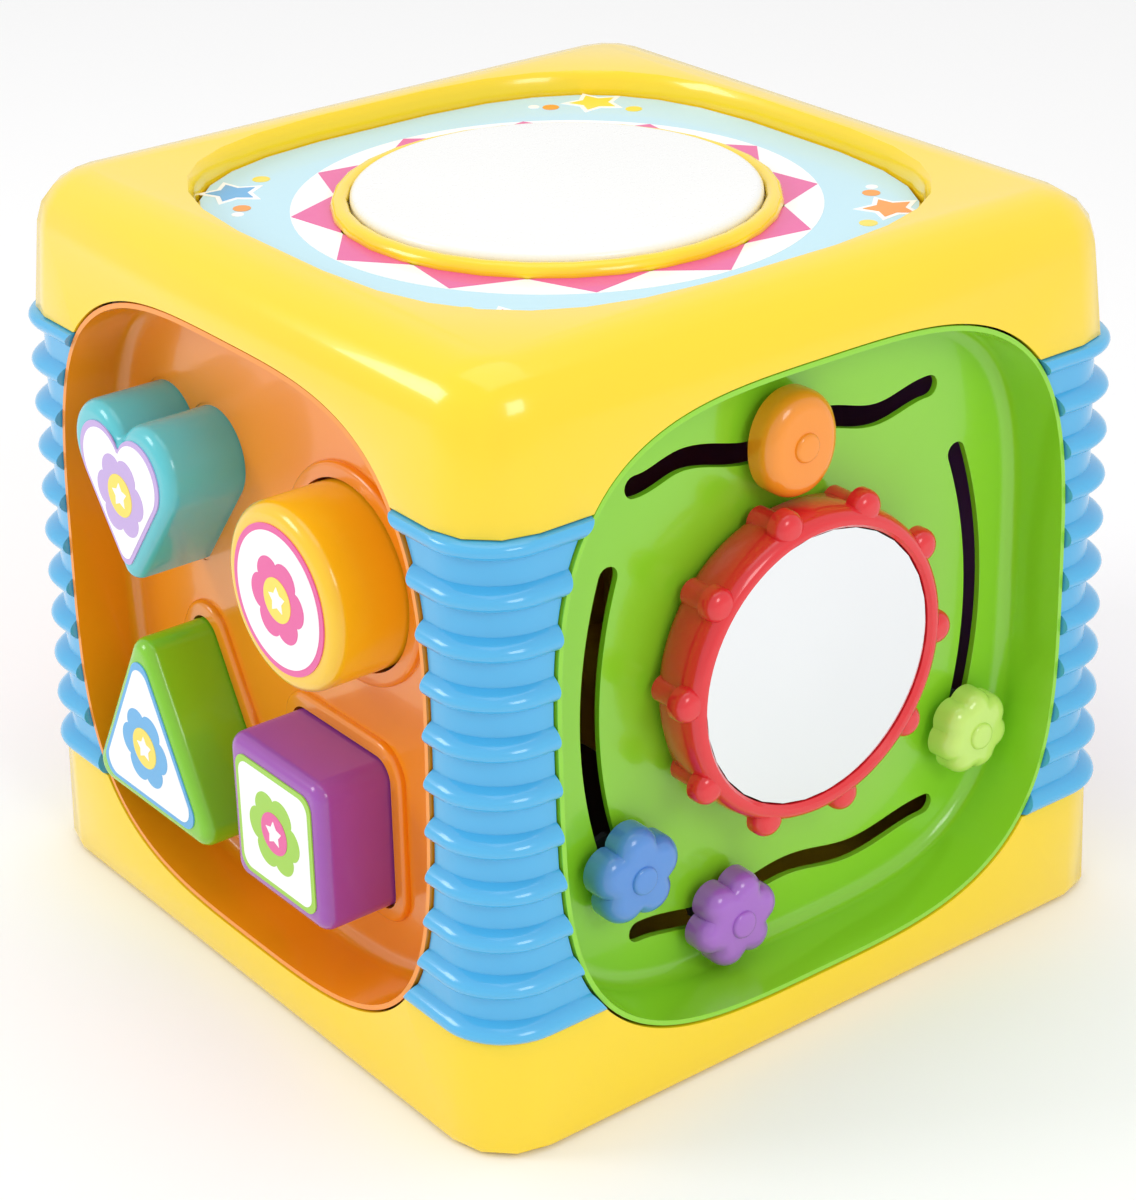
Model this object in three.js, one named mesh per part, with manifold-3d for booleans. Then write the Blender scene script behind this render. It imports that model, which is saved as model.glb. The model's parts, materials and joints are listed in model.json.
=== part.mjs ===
// Baby activity cube: a hollow five-sided play cube. Millimetres, +Z up, origin at the centre of the base.
// Front (-Y) is the shape sorter, right (+X) the mirror and sliders, back (+Y) the gears, left (-X) the
// keyboard, and the top holds the drum. Each side is built as if it were the front one, then turned.
import * as THREE from "three";
import { mergeVertices } from "three/addons/utils/BufferGeometryUtils.js";
import Module from "manifold-3d";

const wasm = await Module();
wasm.setup();

// ---------------------------------------------------------------- driving dimensions
const HEIGHT = 271;
const BASE_HALF = 146; // half the width at the foot, the seams, and where the top fillet starts
const LOWER_HALF = 145;
const UPPER_HALF = 142;
const TOP_HALF = 138;
const LOWER_SEAM = 42;
const UPPER_SEAM = 220;
const CORNER_R = 24;
const TOP_FILLET = 18;
const WALL = 3;
const GAP = 0.3; // left between touching pieces
const FOOT = -3; // the pads it stands on; every other height is counted from 3 mm over them
const STAND = -2; // the underside of the base's floor

const DISH = { z: 131, halfU: 113.8, halfV: 114.8, power: 3.4, floor: 118, skin: 2.5 };
const DECK = { half: 112.6, power: 3.1, top: 261.6, skin: 2.4 };
const DRUM = { padR: 72.4, top: 269, skirtBottom: 254.4, flangeR: 76, collarR: 79.4, seat: 241 };
const MIRROR = { z: 134, glassR: 49.5, ringR: 56.5, front: 141.5, back: 119.4, beads: 10, beadR: 6.8, phase: -4 };
const SLIDER = { width: 8, stemR: 1.5, back: 119.5, front: 133, discR: 8.5 };
// The two side slots are arcs, z their middle's height. The other two wave about a straight line.
const ARC = { left: { r: 165, middle: -81.6, z: 130 }, right: { r: 165, middle: 93.2, z: 124 }, bottom: 77, top: 182 };
const WAVE = { top: { z: 211, slope: -0.035 }, bottom: { z: 42, slope: 0 }, height: 2.3 };
const BLOCK = { front: 148.5, back: 104, wall: 2.2, clearance: 1, collar: 6.5, lip: 2.4 };
const GEAR = { module: 5, back: 120, front: 132, handle: 149.2, axleR: 6.5 };
const KEY = { width: 27, pitch: 30, top: 132, bottom: 64, back: 124, front: 135, count: 5 };
const CELL = { r: 7.1, length: 50, y: -3, z: 10.2 };
const TUB = { u: 33, v: 31, top: 21 };
const SCREW = { headHeight: 1.6, shankR: 1.4 };
const BOSS = { at: 124, r: 6, pilot: 1.9, counterbore: 3 };

const COLOURS = {
  yellow: 0xf7dc1f, blue: 0x5fb9e6, orange: 0xf59a14, green: 0x93d62f, red: 0xe0212b, white: 0xf0f0f0,
  violet: 0x9a5fc0, turquoise: 0x6fcad6, lime: 0x9ad81e, pale: 0xcdf06a, azure: 0x5b93dd, lilac: 0xb070d6,
  coral: 0xee5a4f, metal: 0xb8b8bc, black: 0x222222, board: 0x1f6b3a, sky: 0x8fc9e8, mirror: 0xe9edf0,
};

// ---------------------------------------------------------------- geometry helpers
const root = new THREE.Group();

function solid(geometry) {
  const bare = (geometry.index ? geometry.toNonIndexed() : geometry.clone());
  bare.deleteAttribute("normal");
  bare.deleteAttribute("uv");
  const merged = mergeVertices(bare, 1e-4);
  return new wasm.Manifold(
    new wasm.Mesh({
      numProp: 3,
      vertProperties: merged.attributes.position.array,
      triVerts: new Uint32Array(merged.index.array),
    }),
  );
}

function geometryOf(manifold) {
  const mesh = manifold.getMesh();
  const geometry = new THREE.BufferGeometry();
  geometry.setAttribute("position", new THREE.BufferAttribute(new Float32Array(mesh.vertProperties), 3));
  geometry.setIndex(new THREE.BufferAttribute(new Uint32Array(mesh.triVerts), 1));
  geometry.computeVertexNormals();
  return geometry;
}

const join = (first, ...rest) => rest.reduce((made, piece) => made.add(piece), first);
const cut = (first, ...rest) => rest.reduce((made, piece) => made.subtract(piece), first);

// A closed skin over rings of the same number of points, with flat ends.
function loft(rings) {
  const count = rings[0].length;
  const positions = rings.flat().flatMap((p) => [p.x, p.y, p.z]);
  const index = [];
  for (let r = 0; r + 1 < rings.length; r++)
    for (let i = 0; i < count; i++) {
      const [a, b] = [r * count + i, r * count + ((i + 1) % count)];
      index.push(a, b, b + count, a, b + count, a + count);
    }
  for (const [start, flip] of [[0, true], [(rings.length - 1) * count, false]]) {
    const flat = rings[start / count];
    const across = new THREE.Vector3().subVectors(flat[1], flat[0]);
    const normal = flat
      .reduce((sum, p, i) => sum.add(new THREE.Vector3().crossVectors(p, flat[(i + 1) % count])), new THREE.Vector3())
      .normalize();
    const u = across.normalize();
    const v = new THREE.Vector3().crossVectors(normal, u);
    const outline = flat.map((p) => new THREE.Vector2(p.dot(u), p.dot(v)));
    for (const [a, b, c] of THREE.ShapeUtils.triangulateShape(outline, []))
      index.push(...(flip ? [start + c, start + b, start + a] : [start + a, start + b, start + c]));
  }
  const geometry = new THREE.BufferGeometry();
  geometry.setAttribute("position", new THREE.Float32BufferAttribute(positions, 3));
  geometry.setIndex(index);
  return solidFacingOut(geometry);
}

function solidFacingOut(geometry) {
  const made = solid(geometry);
  if (made.volume() > 0) return made;
  const index = geometry.index.array;
  for (let i = 0; i < index.length; i += 3) [index[i + 1], index[i + 2]] = [index[i + 2], index[i + 1]];
  return solid(geometry);
}

// Outlines are lists of {x, y} points. onSide stands one up on the front side, w outwards from the cube's
// centre, and level lays one flat at height z.
const onSide = (outline, w) => outline.map((p) => new THREE.Vector3(p.x, -w, p.y));
const level = (outline, z) => outline.map((p) => new THREE.Vector3(p.x, p.y, z));
const shift = (outline, x, y) => outline.map((p) => ({ x: p.x + x, y: p.y + y }));

function scaled(outline, by) {
  const xs = outline.map((p) => p.x);
  const ys = outline.map((p) => p.y);
  const [cx, cy] = [(Math.max(...xs) + Math.min(...xs)) / 2, (Math.max(...ys) + Math.min(...ys)) / 2];
  const half = (Math.max(...xs) - Math.min(...xs)) / 2;
  const k = (half + by) / half;
  return outline.map((p) => ({ x: cx + (p.x - cx) * k, y: cy + (p.y - cy) * k }));
}

function superellipse(halfU, halfV, power, count = 32) {
  const bend = (s) => Math.sign(s) * Math.abs(s) ** (2 / power);
  return Array.from({ length: count }, (_, i) => {
    const t = ((i + 0.5) / count) * 2 * Math.PI;
    return { x: halfU * bend(Math.cos(t)), y: halfV * bend(Math.sin(t)) };
  });
}

function arc(x, y, r, from, to, steps) {
  return Array.from({ length: steps + 1 }, (_, i) => {
    const t = THREE.MathUtils.degToRad(from + ((to - from) * i) / steps);
    return { x: x + r * Math.cos(t), y: y + r * Math.sin(t) };
  });
}

const circle = (r, count = 24) => arc(0, 0, r, 0, 360 * (1 - 1 / count), count - 1);

// A regular or free polygon whose corners are rounded to radius r.
function roundedPolygon(corners, r, steps = 4) {
  const count = corners.length;
  return corners.flatMap((c, i) => {
    const before = corners[(i + count - 1) % count];
    const after = corners[(i + 1) % count];
    const a = new THREE.Vector2(before.x - c.x, before.y - c.y).normalize();
    const b = new THREE.Vector2(after.x - c.x, after.y - c.y).normalize();
    const half = Math.acos(a.dot(b)) / 2;
    const toCentre = a.clone().add(b).normalize().multiplyScalar(r / Math.sin(half));
    const turn = Math.PI - 2 * half;
    const start = Math.atan2(-toCentre.y, -toCentre.x) - turn / 2;
    return Array.from({ length: steps + 1 }, (_, k) => {
      const t = start + (turn * k) / steps;
      return { x: c.x + toCentre.x + r * Math.cos(t), y: c.y + toCentre.y + r * Math.sin(t) };
    });
  });
}

const square = (half, r, steps = 3) => rectangle(half, half, r, steps);

function rectangle(halfU, halfV, r, steps = 3) {
  return roundedPolygon(
    [{ x: halfU, y: -halfV }, { x: halfU, y: halfV }, { x: -halfU, y: halfV }, { x: -halfU, y: -halfV }], r, steps,
  );
}

// Plain solids: a box between two corners, a plate through the side wall, and a round bar along each way.
function box(x0, y0, z0, x1, y1, z1) {
  const made = new THREE.BoxGeometry(x1 - x0, y1 - y0, z1 - z0);
  return solid(made.translate((x0 + x1) / 2, (y0 + y1) / 2, (z0 + z1) / 2));
}
const plate = (outline, w0, w1) => loft([onSide(outline, w0), onSide(outline, w1)]);
const slab = (outline, z0, z1) => loft([level(outline, z0), level(outline, z1)]);
const peg = (x, z, r, w0, w1, count = 12) => plate(shift(circle(r, count), x, z), w0, w1);
const post = (x, y, r, z0, z1, count = 10) => slab(shift(circle(r, count), x, y), z0, z1);

// A solid of revolution about the Z axis, moved to a height or laid along the side's outward way.
function lathe(profile, segments = 28) {
  const points = [...profile, profile[0]].map(([r, z]) => new THREE.Vector2(r, z));
  return new THREE.LatheGeometry(points, segments).rotateX(Math.PI / 2);
}
const turned = (profile, segments) => solidFacingOut(indexed(lathe(profile, segments)));
const turnedOnSide = (profile, x, z, segments) =>
  solidFacingOut(indexed(lathe(profile, segments).rotateX(Math.PI / 2).translate(x, 0, z)));

function indexed(geometry) {
  const bare = geometry.clone();
  bare.deleteAttribute("normal");
  bare.deleteAttribute("uv");
  return mergeVertices(bare, 1e-4);
}

function quarterTurned(manifold, quarters) {
  return solid(geometryOf(manifold).rotateZ((quarters * Math.PI) / 2));
}

// ---------------------------------------------------------------- nodes
const sides = {};
for (const [name, quarters] of [["front", 0], ["right", 1], ["back", 2], ["left", 3]]) {
  sides[name] = new THREE.Group();
  sides[name].rotation.z = (quarters * Math.PI) / 2;
  root.add(sides[name]);
}

function node(name, manifold, colour, { parent = root, roughness = 0.3, metalness = 0 } = {}) {
  const material = new THREE.MeshStandardMaterial({ color: COLOURS[colour], roughness, metalness });
  const mesh = new THREE.Mesh(geometryOf(manifold), material);
  mesh.name = name;
  parent.add(mesh);
}

// ---------------------------------------------------------------- the cube's skin
const dishOutline = (inset) =>
  shift(superellipse(DISH.halfU - inset, DISH.halfV - inset, DISH.power), 0, DISH.z);

function dishCutters() {
  const cutter = plate(dishOutline(-GAP), DISH.floor - 12, BASE_HALF + 20);
  return [0, 1, 2, 3].map((quarters) => quarterTurned(cutter, quarters));
}

// Half the body's width at a height, and the outline of its skin there.
function bodyHalf(z) {
  const steps = [[FOOT, BASE_HALF], [LOWER_SEAM, LOWER_HALF], [UPPER_SEAM, UPPER_HALF], [HEIGHT, TOP_HALF]];
  const i = Math.max(0, steps.findLastIndex(([start]) => start < z));
  const [[z0, h0], [z1, h1]] = steps.slice(Math.min(i, 2), Math.min(i, 2) + 2);
  return h0 + ((h1 - h0) * (z - z0)) / (z1 - z0);
}
const bodyRing = (z, grow = 0) => level(square(bodyHalf(z) + grow, CORNER_R + grow), z);

function lowerBody(z1) {
  const edge = [[STAND, -2.4], [STAND + 1, -0.7], [STAND + 3, 0], [z1, 0]];
  return loft(edge.map(([z, grow]) => bodyRing(z, grow)));
}

function upperBody(z0) {
  const turns = [0, 22.5, 45, 67.5, 90].map(THREE.MathUtils.degToRad);
  const rounded = turns.map((t) => {
    const inset = TOP_FILLET * (1 - Math.cos(t));
    const z = HEIGHT - TOP_FILLET * (1 - Math.sin(t));
    return level(square(bodyHalf(z) - inset, CORNER_R - inset * 0.9), z);
  });
  return loft([bodyRing(z0), ...rounded]);
}

const deckOutline = (grow) => superellipse(DECK.half + grow, DECK.half + grow, DECK.power);

function corners(make) {
  return [[1, 1], [-1, 1], [-1, -1], [1, -1]].map(([sx, sy]) => make(sx, sy));
}

function topCap(cutters) {
  const floorZ = UPPER_SEAM + GAP;
  const inside = loft([
    bodyRing(floorZ - 1, -WALL), bodyRing(HEIGHT - TOP_FILLET - 2, -WALL - 0.8),
    level(square(TOP_HALF - 12, 12), HEIGHT - WALL),
  ]);
  const skirt = slab(deckOutline(GAP + WALL), DECK.top - DECK.skin - 1, HEIGHT - WALL + 0.5);
  const opening = loft([
    level(deckOutline(GAP), DECK.top - 8),
    level(deckOutline(GAP + 0.5), HEIGHT - 3),
    level(deckOutline(GAP + 2.5), HEIGHT + 0.1),
  ]);
  const bosses = corners((sx, sy) => post(sx * BOSS.at, sy * BOSS.at, BOSS.r - 1.2, floorZ, HEIGHT - 8));
  return cut(join(cut(upperBody(floorZ), inside), skirt, ...bosses), opening, ...cutters);
}

function bottomBase(cutters) {
  const topZ = LOWER_SEAM - GAP;
  const floorTop = STAND + WALL;
  const inside = loft([bodyRing(floorTop, -WALL - 1), bodyRing(topZ + 1, -WALL)]);
  const pads = corners((sx, sy) => post(sx * 100, sy * 100, 9, FOOT, floorTop - 1, 12));
  const bosses = corners((sx, sy) => post(sx * BOSS.at, sy * BOSS.at, BOSS.r, floorTop - 1, topZ));
  const pilots = corners((sx, sy) => post(sx * BOSS.at, sy * BOSS.at, BOSS.pilot, FOOT, topZ + 1, 6));
  const counterbores = corners((sx, sy) => post(sx * BOSS.at, sy * BOSS.at, 4, FOOT, STAND + BOSS.counterbore, 8));
  const hatch = slab(rectangle(TUB.u + GAP, TUB.v + GAP, 5), FOOT, floorTop + 1);
  const shell = cut(lowerBody(topZ), inside);
  return cut(join(shell, ...pads, ...bosses), ...pilots, ...counterbores, hatch, ...cutters);
}

// One ribbed blue corner post, cut from a square tube whose outside swells into eleven ribs.
function cornerPosts(cutters) {
  const [z0, z1] = [LOWER_SEAM, UPPER_SEAM];
  const ribs = 11;
  const rings = [];
  const pitch = (z1 - z0 - 6) / (ribs - 1);
  for (let i = 0; i < ribs; i++) {
    const mid = z0 + 3 + i * pitch;
    for (const [dz, swell] of [[-3, -1.8], [0, 2.2], [3, -1.8]]) rings.push(bodyRing(mid + dz, swell));
  }
  const inside = loft([bodyRing(z0 - 1, -WALL - 1.4), bodyRing(z1 + 1, -WALL - 1.4)]);
  const tube = cut(loft(rings), inside, ...cutters);
  const corner = box(60, 60, z0 - 1, 200, 200, z1 + 1);
  const quarter = tube.intersect(corner);
  const boss = cut(post(BOSS.at, BOSS.at, BOSS.r, z0 + GAP, z1 - GAP), post(BOSS.at, BOSS.at, BOSS.pilot, z0 - 1, z0 + 20, 6));
  const web = solid(new THREE.BoxGeometry(8, 3, z1 - z0 - 2)
    .translate(7.5, 0, 0).rotateZ(Math.PI / 4).translate(BOSS.at, BOSS.at, (z0 + z1) / 2));
  return [0, 1, 2, 3].map((quarters) => quarterTurned(join(quarter, boss, web), quarters));
}

// A dished side panel, before its own cuts.
function dish() {
  const outside = plate(dishOutline(0), DISH.floor - DISH.skin, BASE_HALF);
  const pocket = loft([
    onSide(dishOutline(9), DISH.floor), onSide(dishOutline(5), DISH.floor + 1.5),
    onSide(dishOutline(2.6), DISH.floor + 6), onSide(dishOutline(1.8), BASE_HALF + 1),
  ]);
  const skin = loft([STAND, LOWER_SEAM, UPPER_SEAM, HEIGHT].map((z) => bodyRing(z, -0.4)));
  return cut(outside, pocket).intersect(skin);
}

// ---------------------------------------------------------------- front: shape sorter
// Two round lobes whose outer sides run straight down to a rounded tip.
function heart() {
  const lobe = { x: 15.5, y: 12.5, r: 17.5 };
  const slant = 36.9;
  const [c, d] = [Math.cos(THREE.MathUtils.degToRad(slant)), Math.sin(THREE.MathUtils.degToRad(slant))];
  const tipR = 6;
  const tipY = lobe.y - (lobe.x * c + lobe.r - tipR) / d;
  const rightSide = [...arc(lobe.x, lobe.y, lobe.r, 148, -slant, 9), ...arc(0, tipY, tipR, -slant, -90, 2)];
  const leftSide = rightSide.slice(0, -1).reverse().map((p) => ({ x: -p.x, y: p.y }));
  return [...rightSide, ...leftSide].reverse();
}

const triangle = () => roundedPolygon([{ x: 0, y: 52 }, { x: -44, y: -28 }, { x: 44, y: -28 }], 8, 3);

const BLOCKS = {
  heart: { outline: heart(), x: -60, z: 172, colour: "turquoise" },
  round: { outline: circle(33, 26), x: 40, z: 169, colour: "yellow" },
  triangle: { outline: triangle(), x: -58.5, z: 71.5, colour: "lime" },
  square: { outline: rectangle(29, 29, 7), x: 28, z: 75, colour: "violet" },
};

function sorterPanel() {
  let panel = dish();
  for (const { outline, x, z } of Object.values(BLOCKS)) {
    const place = shift(outline, x, z);
    panel = join(panel, plate(scaled(place, BLOCK.collar), DISH.floor - 1, DISH.floor + BLOCK.lip));
  }
  for (const { outline, x, z } of Object.values(BLOCKS)) {
    const place = shift(outline, x, z);
    panel = cut(panel, plate(scaled(place, BLOCK.clearance), DISH.floor - 20, DISH.floor + 20));
  }
  return panel;
}

function block({ outline, x, z }) {
  const place = shift(outline, x, z);
  const ring = (inset, w) => onSide(scaled(place, -inset), w);
  const outside = loft([ring(1.5, BLOCK.back), ring(0, BLOCK.back + 1.5), ring(0, BLOCK.front - 6),
    ring(1.6, BLOCK.front - 2), ring(6, BLOCK.front)]);
  const hollow = loft([ring(BLOCK.wall + 1, BLOCK.back + BLOCK.wall), ring(BLOCK.wall + 1, BLOCK.front - 7),
    ring(7.5, BLOCK.front - BLOCK.wall)]);
  return cut(outside, hollow, peg(x, z, 2, BLOCK.back - 1, BLOCK.back + BLOCK.wall + 1, 8));
}

const sticker = ({ outline, x, z }) =>
  plate(scaled(shift(outline, x, z), -6.8), BLOCK.front + GAP, BLOCK.front + GAP + 0.4);

// ---------------------------------------------------------------- right: mirror and sliders
// A slot is a band of round-ended steps along its route.
function slot(route) {
  const r = SLIDER.width / 2;
  const path = new THREE.CatmullRomCurve3(route.map(({ x, z }) => new THREE.Vector3(x, 0, z)));
  const at = path.getSpacedPoints(10);
  const left = [];
  const right = [];
  at.forEach((p, i) => {
    const t = path.getTangentAt(i / (at.length - 1));
    left.push({ x: p.x - t.z * r, y: p.z + t.x * r });
    right.push({ x: p.x + t.z * r, y: p.z - t.x * r });
  });
  const end = path.getTangentAt(1);
  const start = path.getTangentAt(0);
  const angle = (t) => THREE.MathUtils.radToDeg(Math.atan2(t.z, t.x));
  const lastCap = arc(at.at(-1).x, at.at(-1).z, r, angle(end) - 90, angle(end) + 90, 4).slice(1, -1);
  const firstCap = arc(at[0].x, at[0].z, r, angle(start) + 90, angle(start) + 270, 4).slice(1, -1);
  return plate([...right, ...lastCap, ...left.reverse(), ...firstCap], DISH.floor - 10, DISH.floor + 10);
}

// The angle whose sine takes a side slot's stem from the arc's middle to a height.
const arcAngle = ({ r, z }, height) => Math.asin((height - z) / r);
const onArc = (arcOf, t) => {
  const side = Math.sign(arcOf.middle);
  return { x: arcOf.middle - side * arcOf.r * (1 - Math.cos(t)), z: arcOf.z + arcOf.r * Math.sin(t) };
};

function arcRoute(arcOf) {
  const [from, to] = [arcAngle(arcOf, ARC.bottom - 1), arcAngle(arcOf, ARC.top)];
  return [0, 0.25, 0.5, 0.75, 1].map((share) => onArc(arcOf, from + (to - from) * share));
}

// A wavy slot from crest to trough about its straight line.
const waveRoute = ({ z, slope }, xs, firstSign) =>
  xs.map((x, i) => ({ x, z: z + slope * x + WAVE.height * firstSign * (-1) ** i }));

const SLOTS = {
  top: waveRoute(WAVE.top, [-62, -41, -12, 17, 43, 68], -1),
  bottom: waveRoute(WAVE.bottom, [-62, -30, 4.5, 37, 73], 1),
  left: arcRoute(ARC.left),
  right: arcRoute(ARC.right),
};

function petals(count, r, depth, phase = 0, steps = 6) {
  const total = count * steps;
  return Array.from({ length: total }, (_, i) => {
    const t = (i / total) * 2 * Math.PI;
    const swell = Math.abs(Math.cos((count * t) / 2)) ** 0.8;
    const angle = t + phase;
    const reach = r - depth + depth * swell;
    return { x: reach * Math.cos(angle), y: reach * Math.sin(angle) };
  });
}

function egg() {
  return Array.from({ length: 20 }, (_, i) => {
    const t = (i / 20) * 2 * Math.PI;
    return { x: 16.2 * Math.cos(t) * (1 - 0.12 * Math.sin(t)), y: 18.7 * Math.sin(t) };
  });
}

// Each knob's stem rests at x, z in its slot, and the knob's middle is off it by dx, dz.
const arcRest = (arcOf) => onArc(arcOf, arcAngle(arcOf, ARC.bottom));
const waveRest = ({ z, slope }, x) => ({ x, z: z + slope * x });
const KNOBS = {
  ladybird: { outline: egg(), ...waveRest(WAVE.top, -2), dx: 0, dz: 1.6, colour: "orange" },
  daisy: { outline: petals(5, 19, 4, Math.PI / 2), ...arcRest(ARC.left), dx: 1.4, dz: -2.4, colour: "azure" },
  blossom: { outline: petals(6, 18.5, 4, 0.2), ...waveRest(WAVE.bottom, -28), dx: 0.6, dz: -1.4, colour: "lilac" },
  shell: { outline: petals(7, 16.6, 2.2, 0.6, 4), ...arcRest(ARC.right), dx: -0.5, dz: -2.6, colour: "pale" },
};

function knob({ outline, x, z, dx, dz }) {
  const place = shift(outline, x + dx, z + dz);
  const ring = (inset, w) => onSide(scaled(place, -inset), w);
  const body = loft([ring(4, SLIDER.back), ring(0, SLIDER.back + 4), ring(0, SLIDER.front - 5),
    ring(1.4, SLIDER.front - 1.6), ring(4.5, SLIDER.front)]);
  return join(body, peg(x, z, SLIDER.stemR, DISH.floor - 8, SLIDER.back + 1, 8));
}

const knobDisc = ({ x, z }) => {
  const back = DISH.floor - DISH.skin - 0.6;
  return cut(peg(x, z, SLIDER.discR, back - 2.4, back), peg(x, z, SLIDER.stemR + GAP, back - 5, back + 3, 8));
};

function mirrorRing() {
  const { back, front, ringR, glassR } = MIRROR;
  const cup = turnedOnSide([
    [0, 105], [8, 105], [8, back + 0.2], [ringR - 4, back + 0.2], [ringR, back + 6], [ringR, front - 8],
    [ringR - 1.2, front - 3], [ringR - 3.4, front], [glassR + 1, front], [glassR + GAP, front - 1],
    [glassR + GAP, front - 5], [0, front - 5],
  ], 0, MIRROR.z, 30);
  const beads = Array.from({ length: MIRROR.beads }, (_, i) => {
    const t = THREE.MathUtils.degToRad(MIRROR.phase + (360 / MIRROR.beads) * i);
    const bead = new THREE.SphereGeometry(MIRROR.beadR, 8, 5);
    bead.translate((ringR - 0.6) * Math.cos(t), -(front - 7), MIRROR.z + (ringR - 0.6) * Math.sin(t));
    return solidFacingOut(indexed(bead));
  });
  const lightening = cut(peg(0, MIRROR.z, 50, back + 3, front - 7.5, 20), peg(0, MIRROR.z, 10.5, 0, front));
  const vent = peg(30, MIRROR.z, 3, 100, back + 4, 6);
  return cut(join(cup, ...beads), lightening, vent);
}

function mirrorPanel() {
  const bore = peg(0, MIRROR.z, 8.4, 100, 130, 20);
  return cut(dish(), ...Object.values(SLOTS).map(slot), bore);
}

// ---------------------------------------------------------------- back: gears
const GEARS = {
  large: { teeth: 14, x: -42, z: 156, colour: "yellow" },
  small: { teeth: 10, x: 14, z: 134.5, colour: "azure" },
  middle: { teeth: 12, x: 39, z: 85.5, colour: "lime" },
};

// Teeth are trapezia narrower than their gaps, so that toddler-sized gears never jam.
function gearOutline({ teeth, x, z }, firstTooth) {
  const pitchR = (GEAR.module * teeth) / 2;
  const step = (2 * Math.PI) / teeth;
  const points = [];
  for (let i = 0; i < teeth; i++)
    for (const [share, r] of [[-0.22, pitchR - 4.6], [-0.1, pitchR + 3.4], [0.1, pitchR + 3.4], [0.22, pitchR - 4.6]]) {
      const t = firstTooth + (i + share) * step;
      points.push({ x: x + r * Math.cos(t), y: z + r * Math.sin(t) });
    }
  return points;
}

// Each gear's first tooth, so that teeth meet gaps: large to small, then small to middle.
function gearPhases() {
  const { large, small, middle } = GEARS;
  const toSmall = Math.atan2(small.z - large.z, small.x - large.x);
  const smallPhase = toSmall + Math.PI + Math.PI / small.teeth;
  const toMiddle = Math.atan2(middle.z - small.z, middle.x - small.x);
  const step = (2 * Math.PI) / small.teeth;
  const offTooth = (toMiddle - smallPhase) / step;
  const share = offTooth - Math.round(offTooth);
  const middlePhase = toMiddle + Math.PI + (2 * Math.PI * (0.5 + share)) / middle.teeth;
  return { large: toSmall, small: smallPhase, middle: middlePhase };
}

function gear(place, phase) {
  const outline = gearOutline(place, phase);
  const body = plate(outline, GEAR.back, GEAR.front - 2);
  const hubR = (GEAR.module * place.teeth) / 2 - 9;
  const hub = peg(place.x, place.z, hubR, GEAR.front - 3, GEAR.front, 16);
  const handle = peg(place.x + hubR - 5.5, place.z, 4.5, GEAR.front - 1, GEAR.handle, 10);
  const bore = peg(place.x, place.z, GEAR.axleR + 0.4, GEAR.back - 2, GEAR.front - 4);
  return cut(join(body, hub, handle), bore);
}

function gearPanel() {
  const axles = Object.values(GEARS).map(({ x, z }) => peg(x, z, GEAR.axleR, DISH.floor - 1, GEAR.front - 5));
  const spinnerAxle = peg(SPINNER.x, SPINNER.z, SPINNER.axleR, DISH.floor - 1, GEAR.front - 5);
  return join(dish(), ...axles, spinnerAxle);
}

const SPINNER = { x: -52, z: 80, axleR: 5, r: 27 };

function spinner() {
  const outline = shift(petals(4, SPINNER.r, 10, 0.4), SPINNER.x, SPINNER.z);
  const ring = (inset, w) => onSide(scaled(outline, -inset), w);
  const vane = loft([ring(1, GEAR.back), ring(0, GEAR.back + 2), ring(0, GEAR.front - 4), ring(3, GEAR.front)]);
  return cut(vane, peg(SPINNER.x, SPINNER.z, SPINNER.axleR + 0.4, GEAR.back - 2, GEAR.front - 4));
}

// ---------------------------------------------------------------- left: keyboard, speaker and switch
const SPEAKER = { x: 0, z: 184, r: 25 };
const SWITCH = { x: 62, z: 160, travel: 8 };

function keyboardPanel() {
  let panel = dish();
  const holeRings = [[0, 1], [13, 7]];
  for (const [r, count] of holeRings)
    for (let i = 0; i < count; i++) {
      const t = (2 * Math.PI * i) / count;
      panel = cut(panel, peg(SPEAKER.x + r * Math.cos(t), SPEAKER.z + r * Math.sin(t), 3, 110, 130, 6));
    }
  const hingeBar = plate(shift(rectangle(76, 5, 2, 2), 0, KEY.top + 6), DISH.floor - 1, KEY.front - 3);
  const switchSlot = plate(shift(rectangle(4 + SWITCH.travel, 3, 2, 2), SWITCH.x, SWITCH.z), 110, 130);
  return cut(join(panel, hingeBar), switchSlot);
}

function pianoKey(i) {
  const x = (i - (KEY.count - 1) / 2) * KEY.pitch;
  const [halfV, midZ] = [(KEY.top - KEY.bottom) / 2, (KEY.top + KEY.bottom) / 2];
  const ring = (inset, w) => onSide(shift(rectangle(KEY.width / 2 - inset, halfV - inset, 5 - inset * 0.8), x, midZ), w);
  return loft([ring(0, KEY.back), ring(0, KEY.front - 4), ring(1.2, KEY.front - 1), ring(4, KEY.front)]);
}

function speaker() {
  const { x, z, r } = SPEAKER;
  const back = DISH.floor - DISH.skin - GAP;
  return turnedOnSide([[0, back - 20], [12, back - 20], [12, back - 11], [r - 4, back - 5], [r, back - 4], [r, back],
    [r - 3, back], [10, back - 7], [0, back - 7]], x, z, 18);
}

function powerSwitch() {
  const { x, z } = SWITCH;
  const cap = plate(shift(rectangle(6, 4.5, 2, 2), x, z), DISH.floor + 0.5, DISH.floor + 5);
  const neck = plate(shift(rectangle(3, 2, 0.8, 1), x, z), DISH.floor - 6, DISH.floor + 1);
  const slide = plate(shift(rectangle(7, 5, 1, 1), x, z), DISH.floor - 7, DISH.floor - DISH.skin - 0.5);
  return join(cap, neck, slide);
}

// ---------------------------------------------------------------- top: drum
function drumDeck() {
  const plateBody = slab(deckOutline(0), DECK.top - DECK.skin, DECK.top);
  const guide = post(0, 0, DRUM.padR + 0.6 + 2, DECK.top - 4.5, DECK.top, 28);
  return cut(join(plateBody, guide), post(0, 0, DRUM.padR + 0.6, DECK.top - 20, DECK.top + 5, 28));
}

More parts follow.
